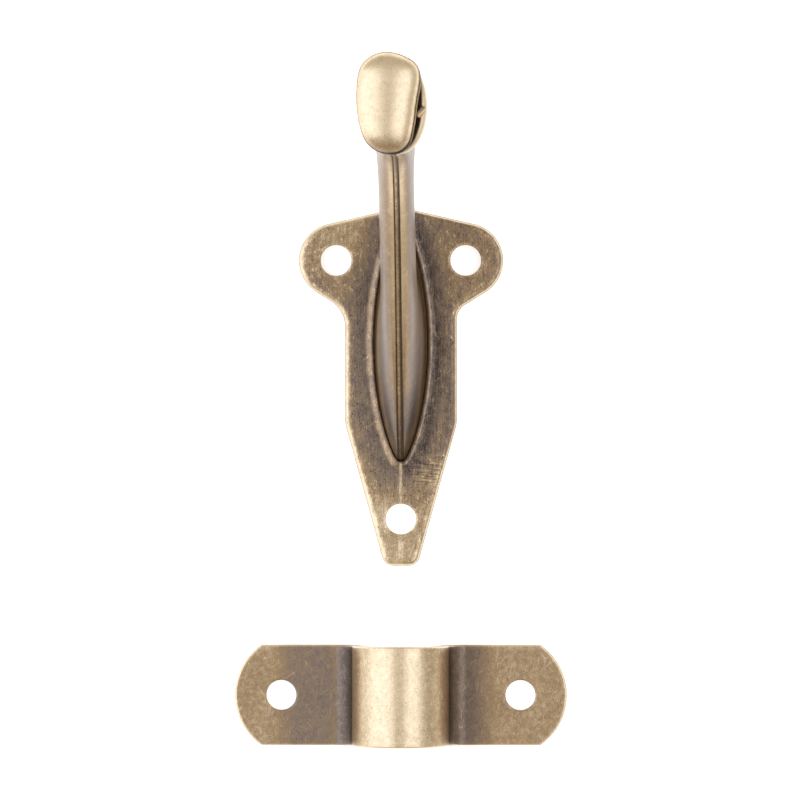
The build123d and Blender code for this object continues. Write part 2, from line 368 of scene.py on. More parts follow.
def rounding_drop(distance, radius):
    """How far a surface has dropped this far in from an edge that is rounded to the radius."""
    inside = np.clip(radius - distance, 0.0, radius)
    return radius - np.sqrt(radius**2 - inside**2)


def rounding_rings(radius, steps=5):
    """Distances in from a rounded edge that share its quarter turn out evenly."""
    return [radius * (1 - math.cos(math.pi / 2 * step / steps)) for step in range(1, steps + 1)]


def eased(where, keys, values):
    """A smooth curve through the values at the keys, read at the places in where."""
    keys, values = np.asarray(keys, float), np.asarray(values, float)
    slopes = np.gradient(values, keys)
    start = np.clip(np.searchsorted(keys, where) - 1, 0, len(keys) - 2)
    gap = keys[start + 1] - keys[start]
    u = (where - keys[start]) / gap
    from_start = (1 + 2 * u) * (1 - u) ** 2 * values[start] + u * (1 - u) ** 2 * gap * slopes[start]
    from_end = u**2 * (3 - 2 * u) * values[start + 1] + u**2 * (u - 1) * gap * slopes[start + 1]
    return from_start + from_end


def bezier(handles, t):
    """Points at the places t on the cubic curve with these four handles."""
    t = np.asarray(t)[:, None]
    weights = [(1 - t) ** 3, 3 * t * (1 - t) ** 2, 3 * t**2 * (1 - t), t**3]
    return sum(weight * np.array(handle) for weight, handle in zip(weights, handles))


def crossing(a, b, c, d):
    """Where the line through a and b meets the line through c and d."""
    a, b, c, d = (np.array(point, float) for point in (a, b, c, d))
    share = np.linalg.solve(np.column_stack([b - a, c - d]), c - a)
    return a + share[0] * (b - a)


def spaced(points, spacing):
    """The closed outline with every side cut into stretches no longer than the spacing."""
    found = []
    for start, end in zip(points, np.roll(points, -1, axis=0)):
        pieces = max(1, math.ceil(np.linalg.norm(end - start) / spacing))
        found += [start + (end - start) * k / pieces for k in range(pieces)]
    return np.array(found)


def rounded_outline(corners, spacing):
    """Closed outline through (x, y, radius) corners, each rounded to its radius."""
    places = np.array([corner[:2] for corner in corners], float)
    found = []
    for index, (_, _, radius) in enumerate(corners):
        into = places[index] - places[index - 1]
        out = places[(index + 1) % len(corners)] - places[index]
        into, out = into / np.linalg.norm(into), out / np.linalg.norm(out)
        turn = math.atan2(into[0] * out[1] - into[1] * out[0], into @ out)
        start = places[index] - into * radius * math.tan(abs(turn) / 2)
        inward = np.array([-into[1], into[0]]) * math.copysign(1, turn)
        steps = max(2, math.ceil(radius * abs(turn) / spacing))
        for step in range(steps + 1):
            angle = abs(turn) * step / steps
            found.append(start + radius * (math.sin(angle) * into + (1 - math.cos(angle)) * inward))
    return spaced(np.array(found), spacing)


def circle(centre, radius, count):
    """Closed ring of points round a hole."""
    angles = 2 * math.pi * np.arange(count) / count
    return np.array(centre) + radius * np.column_stack([np.cos(angles), np.sin(angles)])


def left_normals(loop):
    """Unit normals to the left of a closed outline's direction of travel."""
    along = np.roll(loop, -1, axis=0) - np.roll(loop, 1, axis=0)
    along /= np.linalg.norm(along, axis=1)[:, None]
    return np.column_stack([-along[:, 1], along[:, 0]])


def turned(loop):
    """The closed outline, running anticlockwise."""
    after = np.roll(loop, -1, axis=0)
    area = np.sum(loop[:, 0] * after[:, 1] - after[:, 0] * loop[:, 1])
    return loop if area > 0 else loop[::-1]


def distance_to(points, loop):
    """Distance from each point to a closed outline."""
    start = loop[None]
    side = np.roll(loop, -1, axis=0)[None] - start
    found = np.empty(len(points))
    for first in range(0, len(points), 500):
        offset = points[first : first + 500, None] - start
        share = np.clip((offset * side).sum(2) / (side**2).sum(2), 0, 1)
        found[first : first + 500] = np.linalg.norm(offset - share[..., None] * side, axis=2).min(1)
    return found


def inside(points, loop):
    """Whether each point lies within a closed outline."""
    within = np.zeros(len(points), bool)
    for (ax, ay), (bx, by) in zip(loop, np.roll(loop, -1, axis=0)):
        if ay != by:
            crosses = (ay > points[:, 1]) != (by > points[:, 1])
            within ^= crosses & (points[:, 0] < ax + (points[:, 1] - ay) * (bx - ax) / (by - ay))
    return within


# ---------------------------------------------------------------- mesh making


def add_piece(name, points, faces, body, nodes, material, marks):
    """Makes a smooth mesh piece, from points in mm, that rides on a body and stands for CAD nodes."""
    mesh = bpy.data.meshes.new(name)
    mesh.from_pydata((np.asarray(points) * MM).tolist(), [], [tuple(map(int, face)) for face in faces])
    for mark, values in marks.items():
        values = np.asarray(values, np.float32)
        mesh.attributes.new(mark, "FLOAT", "POINT").data.foreach_set("value", values)
    mesh.shade_smooth()
    mesh.set_sharp_from_angle(angle=SHARP_ANGLE)
    mesh.materials.append(material)
    piece = bpy.data.objects.new(name, mesh)
    bpy.context.scene.collection.objects.link(piece)
    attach(piece, body)
    if nodes:
        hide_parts(*nodes)


def loft_faces(rows, across):
    """Quads between rows that each run once round, with so many points across."""
    faces = []
    for row in range(rows - 1):
        low, high = row * across, (row + 1) * across
        for column in range(across):
            after = (column + 1) % across
            faces.append((low + column, low + after, high + after, high + column))
    return faces


def solid_loft(rows):
    """Points and faces of a solid through rows that each run once round, with a face over either end."""
    across = len(rows[0])
    points = np.vstack(rows)
    faces = loft_faces(len(rows), across)
    faces += [tuple(range(across))[::-1], tuple(range(len(points) - across, len(points)))]
    return points, faces


def sheet_plan(outline, openings, edge_rings, opening_rings, grid):
    """Points and triangles that fill an outline round its openings, with rings along every edge."""
    outline = turned(outline)
    openings = [turned(opening) for opening in openings]
    loops = [outline + left_normals(outline) * ring for ring in [0.0, *edge_rings]]
    for opening, rings in zip(openings, opening_rings):
        loops += [opening - left_normals(opening) * ring for ring in [0.0, *rings]]
    clear = inside(grid, outline) & (distance_to(grid, outline) > edge_rings[-1] + RING_CLEARANCE)
    for opening, rings in zip(openings, opening_rings):
        clear &= ~inside(grid, opening) & (distance_to(grid, opening) > rings[-1] + RING_CLEARANCE)
    points = np.vstack([*loops, grid[clear]])
    sides = []
    first = 0
    for loop in loops:
        sides += [(first + k, first + (k + 1) % len(loop)) for k in range(len(loop))]
        first += len(loop)
    made, _, faces, _, _, _ = delaunay_2d_cdt([Vector(point) for point in points], sides, [], 0, 1e-4)
    made = np.array([point[:] for point in made])
    faces = np.array(faces)
    middles = made[faces].mean(axis=1)
    kept = inside(middles, outline)
    for opening in openings:
        kept &= ~inside(middles, opening)
    faces = faces[kept]
    used = np.unique(faces)
    place = np.full(len(made), -1)
    place[used] = np.arange(len(used))
    return made[used], place[faces]


def add_sheet(name, sides, triangles, body, nodes, material, marks):
    """Makes a closed sheet from its top and under points: triangles on both, and quads round the edges."""
    count = len(sides[0])
    faces = [tuple(face) for face in triangles.tolist()]
    directed = {(a, b) for face in faces for a, b in zip(face, face[1:] + face[:1])}
    under = [(c + count, b + count, a + count) for a, b, c in faces]
    walls = [(a, a + count, b + count, b) for a, b in directed if (b, a) not in directed]
    marks = {mark: np.tile(values, 2) for mark, values in marks.items()}
    add_piece(name, np.vstack(sides), faces + under + walls, body, nodes, material, marks)


# ---------------------------------------------------------------- wall plate


def half_section(width, depth, sharp, inset, v):
    """(along, across) points of one half of an arm section, from its front ridge round to its rear one."""
    tip_inset = inset * (1 + 1.1 * max(sharp - 1, 0))
    bulge = (width - inset - CORE_HALF_THICK) * np.sin(v) ** sharp
    return np.column_stack([-(depth - tip_inset) * np.cos(v), CORE_HALF_THICK + bulge])


def turn_steps(count):
    """Angles from the front ridge to the rear one, closest together at the ridges."""
    return math.pi * (0.5 - 0.5 * np.cos(math.pi * np.arange(count + 1) / count))


def lens_outline():
    """The plate's lens-shaped opening, which the arm's foot fills."""
    right = half_section(FOOT_HALF_WIDTH, FOOT_HALF_LENGTH, LENS_SHARP, 0.0, turn_steps(LENS_POINTS))
    right = np.column_stack([right[:, 1], FOOT_Y + right[:, 0]])
    left = right[::-1] * (-1, 1)
    return spaced(np.vstack([right, left]), LENS_STEP)


def plate_outline():
    """The plate's three-lobed outline, with the lobes as round corners."""
    lobe_top = (
        SCREW_HALF_SPACING + LOBE_RADIUS * math.sin(LOBE_TOP_SLOPE),
        LOBE_RADIUS * math.cos(LOBE_TOP_SLOPE),
    )
    apex = (0, lobe_top[1] + lobe_top[0] * math.tan(LOBE_TOP_SLOPE))
    lobe_low = (
        SCREW_HALF_SPACING + LOBE_RADIUS * math.sin(LOBE_FLARE),
        -LOBE_RADIUS * math.cos(LOBE_FLARE),
    )
    throat_y = lobe_low[1] - (lobe_low[0] - WAIST_HALF_WIDTH) * math.tan(LOBE_FLARE)
    lobe_x, lobe_y = crossing(apex, lobe_top, (WAIST_HALF_WIDTH, throat_y), lobe_low)
    right = [
        (lobe_x, lobe_y, LOBE_RADIUS),
        (WAIST_HALF_WIDTH, throat_y, RIGHT_THROAT_ROUND),
        (WAIST_HALF_WIDTH, WAIST_LOW_Y, SHOULDER_ROUND),
        (TOE_HALF_WIDTH, TOE_Y, TOE_ROUND),
    ]
    left = [(-x, y, radius) for x, y, radius in reversed(right)]
    left[2] = (*left[2][:2], LEFT_THROAT_ROUND)
    return rounded_outline([(*apex, APEX_ROUND), *right, *left], OUTLINE_STEP)


def grid_points(low, high, spacing):
    """Square grid of points over a box, with alternate rows moved half a step across."""
    xs = np.arange(low[0], high[0], spacing)
    ys = np.arange(low[1], high[1], spacing * 0.87)
    x, y = np.meshgrid(xs, ys)
    x[1::2] += spacing / 2
    return np.column_stack([x.ravel(), y.ravel()])


def crease_points(low_y, high_y):
    """Close columns of points along the plate's centre crease."""
    columns = CREASE_HALF_WIDTH * CREASE_COLUMNS
    x, y = np.meshgrid(columns, np.arange(low_y, high_y, CREASE_STEP))
    return np.column_stack([x.ravel(), y.ravel()])


def plate_marks(plan, to_edge, to_lens, to_screw, crease_shine):
    """Where the plate is rubbed bright, where it stays dark, where its dark lines are, and where highlights
    and shade are painted on.
    """
    x, y = plan.T
    on_right = smooth_step(-1.0, 1.0, x)
    rim = 1 - smooth_step(*between(LEFT_RIM, RIGHT_RIM, on_right), to_edge)
    screw_rim = 1 - smooth_step(*SCREW_RIM, to_screw)
    toe = smooth_step(*TOE_WEAR_Y, y)
    left_of_screw = np.exp(-(((y - LOWER_SCREW_Y) / LEFT_OF_SCREW_REACH) ** 2))
    left_of_screw *= smooth_step(*LEFT_OF_SCREW_X, x)
    # Painted light: left_lobe_highlight lightens the upper left lobe, collar_highlight is a painted
    # highlight on the collar's left slope, and lip_highlight a painted highlight line on the lip's right
    # side.
    left_lobe_highlight = smooth_step(*LEFT_LOBE_X, x) * smooth_step(*LEFT_LOBE_Y, y)
    collar_highlight = band(*COLLAR_SHINE, to_lens) * (1 - on_right)
    lip_highlight = band(*LIP_LINE, to_lens) * on_right
    wear_and_highlight = strongest(
        (rim, 1.1),
        (screw_rim, 0.5),
        (toe, 0.45),
        (left_of_screw, 0.6),
        (left_lobe_highlight, 0.2),
        (collar_highlight, 0.12),
        (lip_highlight, 0.2),
        (crease_shine, 0.7),
    )
    # Painted shade: lens_shade darkens round the opening (patina and painted shade), right_lobe_shade and
    # right_waist_shade darken the plate's right side, and beside_lip_shade darkens outside the lip on the
    # right.
    lens_shade = (1 - smooth_step(*LENS_SHADE, to_lens)) * (1 - 0.6 * collar_highlight) * (1 - lip_highlight)
    right_lobe_shade = smooth_step(*RIGHT_LOBE_X, x) * smooth_step(*RIGHT_LOBE_Y, y)
    right_waist_shade = smooth_step(*RIGHT_WAIST_X, x) * band(*RIGHT_WAIST_Y, y)
    right_waist_shade *= 1.0 - 0.35 * smooth_step(*WAIST_SHADE, to_edge)
    beside_lip_shade = band(*BESIDE_LIP, to_lens) * on_right
    grime_and_shade = strongest((lens_shade, 1.0), (right_lobe_shade, 0.35), (right_waist_shade, 1.0), (beside_lip_shade, 1.5))
    lens_line = 1 - smooth_step(*between(LEFT_LENS_LINE, RIGHT_LENS_LINE, on_right), to_lens)
    edge_line = 1 - smooth_step(*EDGE_LINE, to_edge)
    return {
        "wear_and_highlight": wear_and_highlight,
        "grime_and_shade": grime_and_shade * (1 - 0.8 * crease_shine),
        "groove": strongest((lens_line * np.where(x > 0, 1.0, 0.5), 0.7), (edge_line, 1.0)),
    }


def wall_plate(material):
    """Pressed plate with rounded edges, three screw holes, a collar round its opening and a crease."""
    outline = plate_outline()
    lens = lens_outline()
    screws = [
        circle(centre, SCREW_RADIUS, HOLE_POINTS)
        for centre in ((-SCREW_HALF_SPACING, 0), (SCREW_HALF_SPACING, 0), (0, LOWER_SCREW_Y))
    ]
    crease_top = FOOT_Y - FOOT_HALF_LENGTH - COLLAR_ROUND
    grid = grid_points(PLATE_GRID_LOW, PLATE_GRID_HIGH, PLATE_GRID)
    in_crease = (np.abs(grid[:, 0]) < CREASE_STRIP) & (grid[:, 1] < crease_top)
    grid = np.vstack([grid[~in_crease], crease_points(TOE_Y, crease_top)])
    hole_rings = rounding_rings(HOLE_ROUND, 3) + [HOLE_FLAT_RING]
    lens_rings = rounding_rings(COLLAR_ROUND) + COLLAR_RINGS
    opening_rings = [lens_rings, hole_rings, hole_rings, hole_rings]
    plan, triangles = sheet_plan(
        outline, [lens, *screws], rounding_rings(PLATE_EDGE_ROUND), opening_rings, grid
    )
    to_edge = distance_to(plan, outline)
    to_lens = distance_to(plan, lens)
    to_screw = np.min([distance_to(plan, screw) for screw in screws], axis=0)
    collar = COLLAR_HEIGHT * (1 - smooth_step(COLLAR_ROUND, COLLAR_WIDTH, to_lens))
    below_lens = smooth_step(crease_top, crease_top - CREASE_TOP_FADE, plan[:, 1])
    toe_end = smooth_step(*CREASE_TOE_FADE, to_edge)
    ridge = np.exp(-((plan[:, 0] / CREASE_HALF_WIDTH) ** 2))
    front = PLATE_THICK + collar + CREASE_HEIGHT * ridge * below_lens * toe_end
    front -= rounding_drop(to_edge, PLATE_EDGE_ROUND)
    front -= rounding_drop(to_screw, HOLE_ROUND) + rounding_drop(to_lens, COLLAR_ROUND)
    back = rounding_drop(np.minimum(to_edge, to_screw), BACK_EDGE_ROUND)
    sides = [np.column_stack([plan, front]), np.column_stack([plan, back])]
    marks = plate_marks(plan, to_edge, to_lens, to_screw, ridge**2 * below_lens)
    add_sheet("plate_skin", sides, triangles, "bracket", ["wall_plate"], material, marks)


# ---------------------------------------------------------------- arm


def arm_rows(mouth_z):
    """Places along the arm with the front and rear ridge point of each, as (y, z), from the wall out."""
    ridge_t = np.linspace(0, 1, RIDGE_POINTS) ** RIDGE_CROWDING
    barrel_z = np.linspace(BARREL_START_Z, mouth_z, BARREL_POINTS)[1:]
    foot_z = [0.0, PLATE_THICK / 2]
    front, rear = (
        np.vstack(
            [
                np.column_stack([np.full(len(foot_z), ridge[0][0]), foot_z]),
                bezier(ridge, ridge_t),
                np.column_stack([np.full(len(barrel_z), ridge[-1][0]), barrel_z]),
            ]
        )
        for ridge in (FRONT_RIDGE, REAR_RIDGE)
    )
    barrel_place = 1 + (barrel_z - BARREL_START_Z) / (MOUTH_Z - BARREL_START_Z)
    return np.concatenate([[0, 0], ridge_t, barrel_place]), front, rear


def seam_rounded(curve, radius):
    """The section's outer curve with both its ends turned in, to make the rounded edges of a joint line."""
    steps = np.linalg.norm(np.diff(curve, axis=0), axis=1)
    along = np.concatenate([[0], np.cumsum(steps)])
    tangent = np.gradient(curve, axis=0)
    tangent /= np.linalg.norm(tangent, axis=1)[:, None]
    near_front, near_rear = along, along[-1] - along
    rounded = curve.copy()
    rounded[:, 0] += rounding_drop(near_front, radius) * np.abs(tangent[:, 1])
    rounded[:, 0] -= rounding_drop(near_rear, radius) * np.abs(tangent[:, 1])
    return rounded


def placed(section, front, rear, side):
    """Section points put on the arm: along runs from the front ridge to the rear one, across to the side."""
    middle = (front + rear) / 2
    direction = (rear - front) / np.linalg.norm(rear - front)
    in_plane = middle + section[:, :1] * direction
    return np.column_stack([side * section[:, 1], in_plane])


def shell_marks(points, rows, mouth_z, side):
    """Where a shell is rubbed bright or given painted highlights, where it stays dark or gets painted shade
    at its foot, and the dark line of its seam.
    """
    across = len(points) // len(rows)
    from_middle = np.abs(points[:, 0])
    row_z = np.repeat([row[:, 2].min() for row in rows], across)
    below_mouth = mouth_z - points[:, 2]
    crown = CROWN_LEAST + (1 - CROWN_LEAST) * smooth_step(*CROWN_START_Z, row_z)
    crown *= 1 - smooth_step(*CROWN_FADE, from_middle)
    hem_highlight = (1 - smooth_step(*HEM_END_Z, row_z)) * smooth_step(*HEM_START, from_middle)
    left_flank_highlight = smooth_step(*FLANK_START_Z, row_z) * smooth_step(*FLANK_START, from_middle) * (side < 0)
    inner_wall = np.tile(np.arange(across) > OUTER_STEPS, len(rows))
    mouth_wall = smooth_step(*MOUTH_WALL_DEPTHS, below_mouth) * inner_wall
    lip = smooth_step(*LIP_WEAR_DEPTHS, below_mouth) * (side > 0)
    reach = np.clip(1 - ((points[:, 1] - FOOT_Y) / FOOT_HALF_LENGTH) ** 2, 1e-6, 1)
    lens_width = CORE_HALF_THICK + (FOOT_HALF_WIDTH - CORE_HALF_THICK) * reach ** (LENS_SHARP / 2)
    # sheen is a painted reflection along the foot's flanks; hem_highlight low on the foot and
    # left_flank_highlight on the left shell are painted highlights.
    sheen = np.exp(-(((from_middle / lens_width - SHEEN_PLACE) / SHEEN_WIDTH) ** 2))
    sheen *= 1 - smooth_step(*SHEEN_END_Z, row_z)
    # Painted shade low on the foot where the arm meets the plate, stronger on the right shell.
    foot = band(*FOOT_SHADE, row_z - PLATE_THICK) * (1 - sheen)
    return {
        "wear_and_highlight": np.maximum(crown, 1.5 * lip) + 0.3 * sheen + 0.5 * hem_highlight + 0.2 * left_flank_highlight + mouth_wall,
        "grime_and_shade": foot * (RIGHT_FOOT_SHADE if side > 0 else 1.0),
        "groove": 1 - smooth_step(*SEAM_LINE, from_middle - CORE_HALF_THICK),
    }


def arm_shell(name, node, side, material):
    """One pressed half of the hollow arm, with rounded seam edges and a rounded mouth."""
    mouth_z = RIGHT_MOUTH_Z if side > 0 else MOUTH_Z
    place, front, rear = arm_rows(mouth_z - MOUTH_BEVEL - MOUTH_ROUND)
    keys = [section[0] for section in SECTIONS]
    widths = eased(place, keys, [section[1 if side > 0 else 2] for section in SECTIONS])
    sharps = eased(place, keys, [section[3] for section in SECTIONS])
    seams = SEAM_ROUND * smooth_step(*SEAM_START, place)
    v_outer, v_inner = turn_steps(OUTER_STEPS), turn_steps(INNER_STEPS)[::-1]
    rows = []
    for width, sharp, seam, low, high in zip(widths, sharps, seams, front, rear):
        depth = np.linalg.norm(high - low) / 2
        outer = seam_rounded(half_section(width, depth, sharp, 0.0, v_outer), seam)
        wall = SHELL_THICK + MOUTH_BEAD * smooth_step(*BEAD_DEPTHS, mouth_z - low[1])
        inner = half_section(width, depth, sharp, wall, v_inner)
        rows.append(placed(np.vstack([outer, inner]), low, high, side))
    depth = (BARREL_TOP_Y - BARREL_LOW_Y) / 2
    corners = ((MOUTH_ROUND, 0.0, v_outer), (MOUTH_BEVEL, SHELL_THICK + MOUTH_BEAD, v_inner))
    for turn in np.linspace(0, math.pi / 2, MOUTH_STEPS):
        edges = []
        for radius, wall, v in corners:
            inset = abs(wall - radius * (1 - math.cos(turn)))
            lift = np.array([0, mouth_z - radius * (1 - math.sin(turn)) - front[-1][1]])
            edge = half_section(widths[-1], depth, sharps[-1], inset, v)
            edge = edge if wall else seam_rounded(edge, SEAM_ROUND)
            edges.append(placed(edge, front[-1] + lift, rear[-1] + lift, side))
        rows.append(np.vstack(edges))
    across = len(v_outer) + len(v_inner)
    points = np.vstack(rows)
    faces = loft_faces(len(rows), across)
    faces += end_faces(0, len(v_outer), len(v_inner), flip=False)
    faces += end_faces((len(rows) - 1) * across, len(v_outer), len(v_inner), flip=True)
    if side < 0:
        faces = [face[::-1] for face in faces]
    marks = shell_marks(points, rows, mouth_z, side)
    add_piece(name, points, faces, "bracket", [node], material, marks)


def end_faces(first, outer, inner, flip):
    """Faces that close one end of a shell, between its outer and its inner curve."""
    faces = []
    ratio = (outer - 1) // (inner - 1)
    last = outer + inner - 1
    for k in range(inner - 1):
        strip = [first + ratio * k + step for step in range(ratio + 1)]
        face = [*strip, first + last - k - 1, first + last - k]
        faces.append(tuple(face) if flip else tuple(reversed(face)))
    return faces


def arm_core(material):
    """Flat core between the shells. Its rounded edge shows as the narrow band on the arm's ridge."""
    place, front, rear = arm_rows(MOUTH_Z)
    angles = np.radians(np.linspace(-90, 90, CORE_EDGE_POINTS))
    recesses = CORE_RECESS * smooth_step(*RECESS_START, place)
    crowns = CORE_CROWN * smooth_step(*SEAM_START, place)
    rows = []
    for low, high, recess, crown in zip(front, rear, recesses, crowns):
        depth = np.linalg.norm(high - low) / 2 - recess
        drop = crown * (1 - np.cos(angles))
        near = np.column_stack([-depth + drop, CORE_HALF_THICK * np.sin(angles)])
        far = np.column_stack([depth - drop, CORE_HALF_THICK * np.sin(-angles)])
        rows.append(placed(np.vstack([near, far]), low, high, 1))
    points, faces = solid_loft(rows)
    right_line = smooth_step(*CORE_RIGHT_LINE_X, points[:, 0])
    left_line = smooth_step(*CORE_LEFT_LINE_X, points[:, 0])
    marks = {
        "wear_and_highlight": np.zeros(len(points)),
        # Painted shade on the core near the plate.
        "grime_and_shade": np.repeat(1 - smooth_step(*CORE_FOOT_SHADE, place), len(rows[0])),
        "groove": np.maximum(right_line, left_line),
    }
    add_piece("arm_web", points, faces, "bracket", ["arm_core"], material, marks)


def closed_curve(points, steps):
    """Smooth closed curve through the points, with so many steps between each pair."""
    points = np.array(points)
    before, after, beyond = (np.roll(points, shift, axis=0) for shift in (1, -1, -2))
    u = (np.arange(steps) / steps)[:, None]
    found = []
    for p0, p1, p2, p3 in zip(before, points, after, beyond):
        square = 2 * p0 - 5 * p1 + 4 * p2 - p3
        cube = 3 * p1 - p0 - 3 * p2 + p3
        found.append(0.5 * (2 * p1 + (p2 - p0) * u + square * u**2 + cube * u**3))
    return np.vstack(found)


def end_cap(material):
    """Domed cap: rings that shrink from an egg-shaped outline to a short spine, over a narrow sheet edge."""
    outline = turned(closed_curve(CAP_OUTLINE, CAP_STEPS))
    low_y, high_y = (end[1] for end in CAP_SPINE)
    share = np.clip((outline[:, 1] - low_y) / (high_y - low_y), 0, 1)
    spine = np.column_stack(between(*CAP_SPINE, share))
    inward = left_normals(outline)
    edge_side = smooth_step(*CAP_EDGE_FACING, inward @ CAP_EDGE_SIDE)
    edge_width = CAP_EDGE_WIDTH * (CAP_EDGE_LEAST + (1 - CAP_EDGE_LEAST) * edge_side)[:, None]
    base_z = cap_low[2]
    dome_height = cap_high[2] - base_z - CAP_EDGE_HEIGHT
    rings = [(outline, 0.0), (outline, CAP_EDGE_HEIGHT - CAP_EDGE_ROUND)]
    for turn in np.radians((30, 60, 90)):
        inset = CAP_EDGE_ROUND * (1 - math.cos(turn))
        rings.append((outline + inward * inset, CAP_EDGE_HEIGHT - CAP_EDGE_ROUND * (1 - math.sin(turn))))
    dome = outline + inward * (CAP_EDGE_ROUND + edge_width)
    for angle in np.linspace(0, CAP_LAST_ANGLE, CAP_RINGS):
        rise = dome_height * math.sin(angle) / math.sin(CAP_LAST_ANGLE)
        rings.append((spine + (dome - spine) * math.cos(angle), CAP_EDGE_HEIGHT + rise))
    across = len(outline)
    points, faces = solid_loft(
        [np.column_stack([ring, np.full(across, base_z + rise)]) for ring, rise in rings]
    )
    groove = np.zeros(len(points))
    # Painted shade line at the dome's foot, on its lower right.
    groove[: across * len(CAP_STEP_LINE)] = np.outer(CAP_STEP_LINE, edge_side).ravel()
    # Painted shade on the dome's steep sides, more on the right.
    steep_shade = 1 - smooth_step(0.0, CAP_STEEP, (points[:, 2] - base_z - CAP_EDGE_HEIGHT) / dome_height)
    right_rim_shade = steep_shade * smooth_step(*CAP_RIGHT_X, points[:, 0])
    marks = {
        "wear_and_highlight": 1 - 0.5 * steep_shade - 0.35 * right_rim_shade,
        # Painted shade towards the cap's low end.
        "grime_and_shade": 1 - smooth_step(*CAP_LOW_END_Y, points[:, 1]),
        "groove": groove,
    }
    add_piece("cap_dome", points, faces, "bracket", ["end_cap"], material, marks)


def tie_tab(material):
    """Small rounded tab from the right shell's lip across the slot to the back of the cap."""
    half_length, half_width = TAB_LENGTH / 2, TAB_WIDTH / 2
    signs = ((1, 1), (-1, 1), (-1, -1), (1, -1))
    outline = rounded_outline([(x * half_length, y * half_width, TAB_ROUND) for x, y in signs], TAB_STEP)
    grid = grid_points((-half_length, -half_width), (half_length, half_width), TAB_GRID)
    plan, triangles = sheet_plan(outline, [], rounding_rings(TAB_ROUND, 4), [], grid)
    top = TAB_TOP_Z - rounding_drop(distance_to(plan, outline), TAB_ROUND)
    under = np.full(len(plan), TAB_TOP_Z - TAB_DEPTH)
    along = np.array([math.cos(TAB_ANGLE), math.sin(TAB_ANGLE)])
    place = np.array(TAB_MIDDLE) + plan[:, :1] * along + plan[:, 1:] * (-along[1], along[0])
    sides = [np.column_stack([place, top]), np.column_stack([place, under])]
    plain = np.zeros(len(plan))
    marks = {"wear_and_highlight": smooth_step(0.0, -half_width, plan[:, 1]), "grime_and_shade": plain, "groove": plain}
    add_sheet("tie_tab_skin", sides, triangles, "bracket", [], material, marks)


# ---------------------------------------------------------------- rail strap


def bend_strap(flat, level):
    """Bends the flat pattern round the arch. level is each point's height over mid thickness."""
    along, side = np.abs(flat[:, 0]), np.sign(flat[:, 0])
    past_arch = along - HALF_ARCH
    turn = np.clip(along / ARCH_MID_RADIUS, 0, math.pi / 2)
    back = np.clip((past_arch - STRAP_LEG) / BEND_MID_RADIUS, 0, math.pi / 2)
    x = ARCH_MID_RADIUS * np.sin(turn) + BEND_MID_RADIUS * (1 - np.cos(back))
    x += np.clip(past_arch - STRAP_LEG - BEND_ARC, 0, None)
    z = ARCH_SPRING_Z + ARCH_MID_RADIUS * np.cos(turn)
    z -= np.clip(past_arch, 0, STRAP_LEG) + BEND_MID_RADIUS * np.sin(back)
    tilt = turn - back
    out = side * (x + level * np.sin(tilt))
    return np.column_stack([out, STRAP_Y + flat[:, 1], z + level * np.cos(tilt)])


def strap_marks(plan, to_edge):
    """Where the strap is rubbed bright, and where it stays dark."""
    along = np.abs(plan[:, 0])
    past_arch, past_bend = along - HALF_ARCH, along - HALF_ARCH - STRAP_LEG - BEND_ARC
    on_right = smooth_step(-1.0, 1.0, plan[:, 0])
    crown = 1 - smooth_step(*between(LEFT_CROWN_FADE, RIGHT_CROWN_FADE, on_right), past_arch)
    hollow_end = smooth_step(*between(LEFT_HOLLOW_END, RIGHT_HOLLOW_END, on_right), past_bend)
    hollow = smooth_step(*HOLLOW_START, past_arch) * (1 - hollow_end) * (1.2 - 0.2 * on_right)
    inner_ear = band(*INNER_EAR, past_bend) * (1 - on_right)
    return {
        "wear_and_highlight": strongest((band(*STRAP_RIM, to_edge), 1.0), (crown, 0.58)),
        "grime_and_shade": strongest((hollow, 1.0), (inner_ear, 0.65)),
        "groove": np.zeros(len(plan)),
    }


def rail_strap(material):
    """Strap bent from flat bar, with rounded edges, worked out flat and then bent."""
    swing = math.asin(STRAP_HALF_WIDTH / STRAP_END_RADIUS)
    angles = np.linspace(-swing, swing, STRAP_END_POINTS)
    end_centre = (FLAT_HALF_LENGTH - STRAP_END_RADIUS, 0)
    right = end_centre + STRAP_END_RADIUS * np.column_stack([np.cos(angles), np.sin(angles)])
    outline = spaced(np.vstack([right, -right]), STRAP_STEP)
    screw_x = FLAT_HALF_LENGTH - (STRAP_HALF_LENGTH - STRAP_SCREW_X)
    screws = [circle((side * screw_x, 0), STRAP_SCREW_RADIUS, HOLE_POINTS) for side in (-1, 1)]
    x, y = np.meshgrid(
        np.linspace(-FLAT_HALF_LENGTH, FLAT_HALF_LENGTH, STRAP_GRID[0]),
        np.linspace(-STRAP_HALF_WIDTH, STRAP_HALF_WIDTH, STRAP_GRID[1]),
    )
    grid = np.column_stack([x.ravel(), y.ravel()])
    hole_rings = rounding_rings(HOLE_ROUND, 3) + [HOLE_FLAT_RING]
    edge_rings = rounding_rings(STRAP_EDGE_ROUND, 4)
    plan, triangles = sheet_plan(outline, screws, edge_rings, [hole_rings] * 2, grid)
    to_edge = distance_to(plan, outline)
    to_screw = np.min([distance_to(plan, screw) for screw in screws], axis=0)
    top = STRAP_THICK / 2 - rounding_drop(to_edge, STRAP_EDGE_ROUND) - rounding_drop(to_screw, HOLE_ROUND)
    under = -STRAP_THICK / 2 + rounding_drop(np.minimum(to_edge, to_screw), BACK_EDGE_ROUND)
    sides = [bend_strap(plan, top), bend_strap(plan, under)]
    marks = strap_marks(plan, to_edge)
    add_sheet("strap_skin", sides, triangles, "strap", ["rail_strap"], material, marks)


# ---------------------------------------------------------------- materials


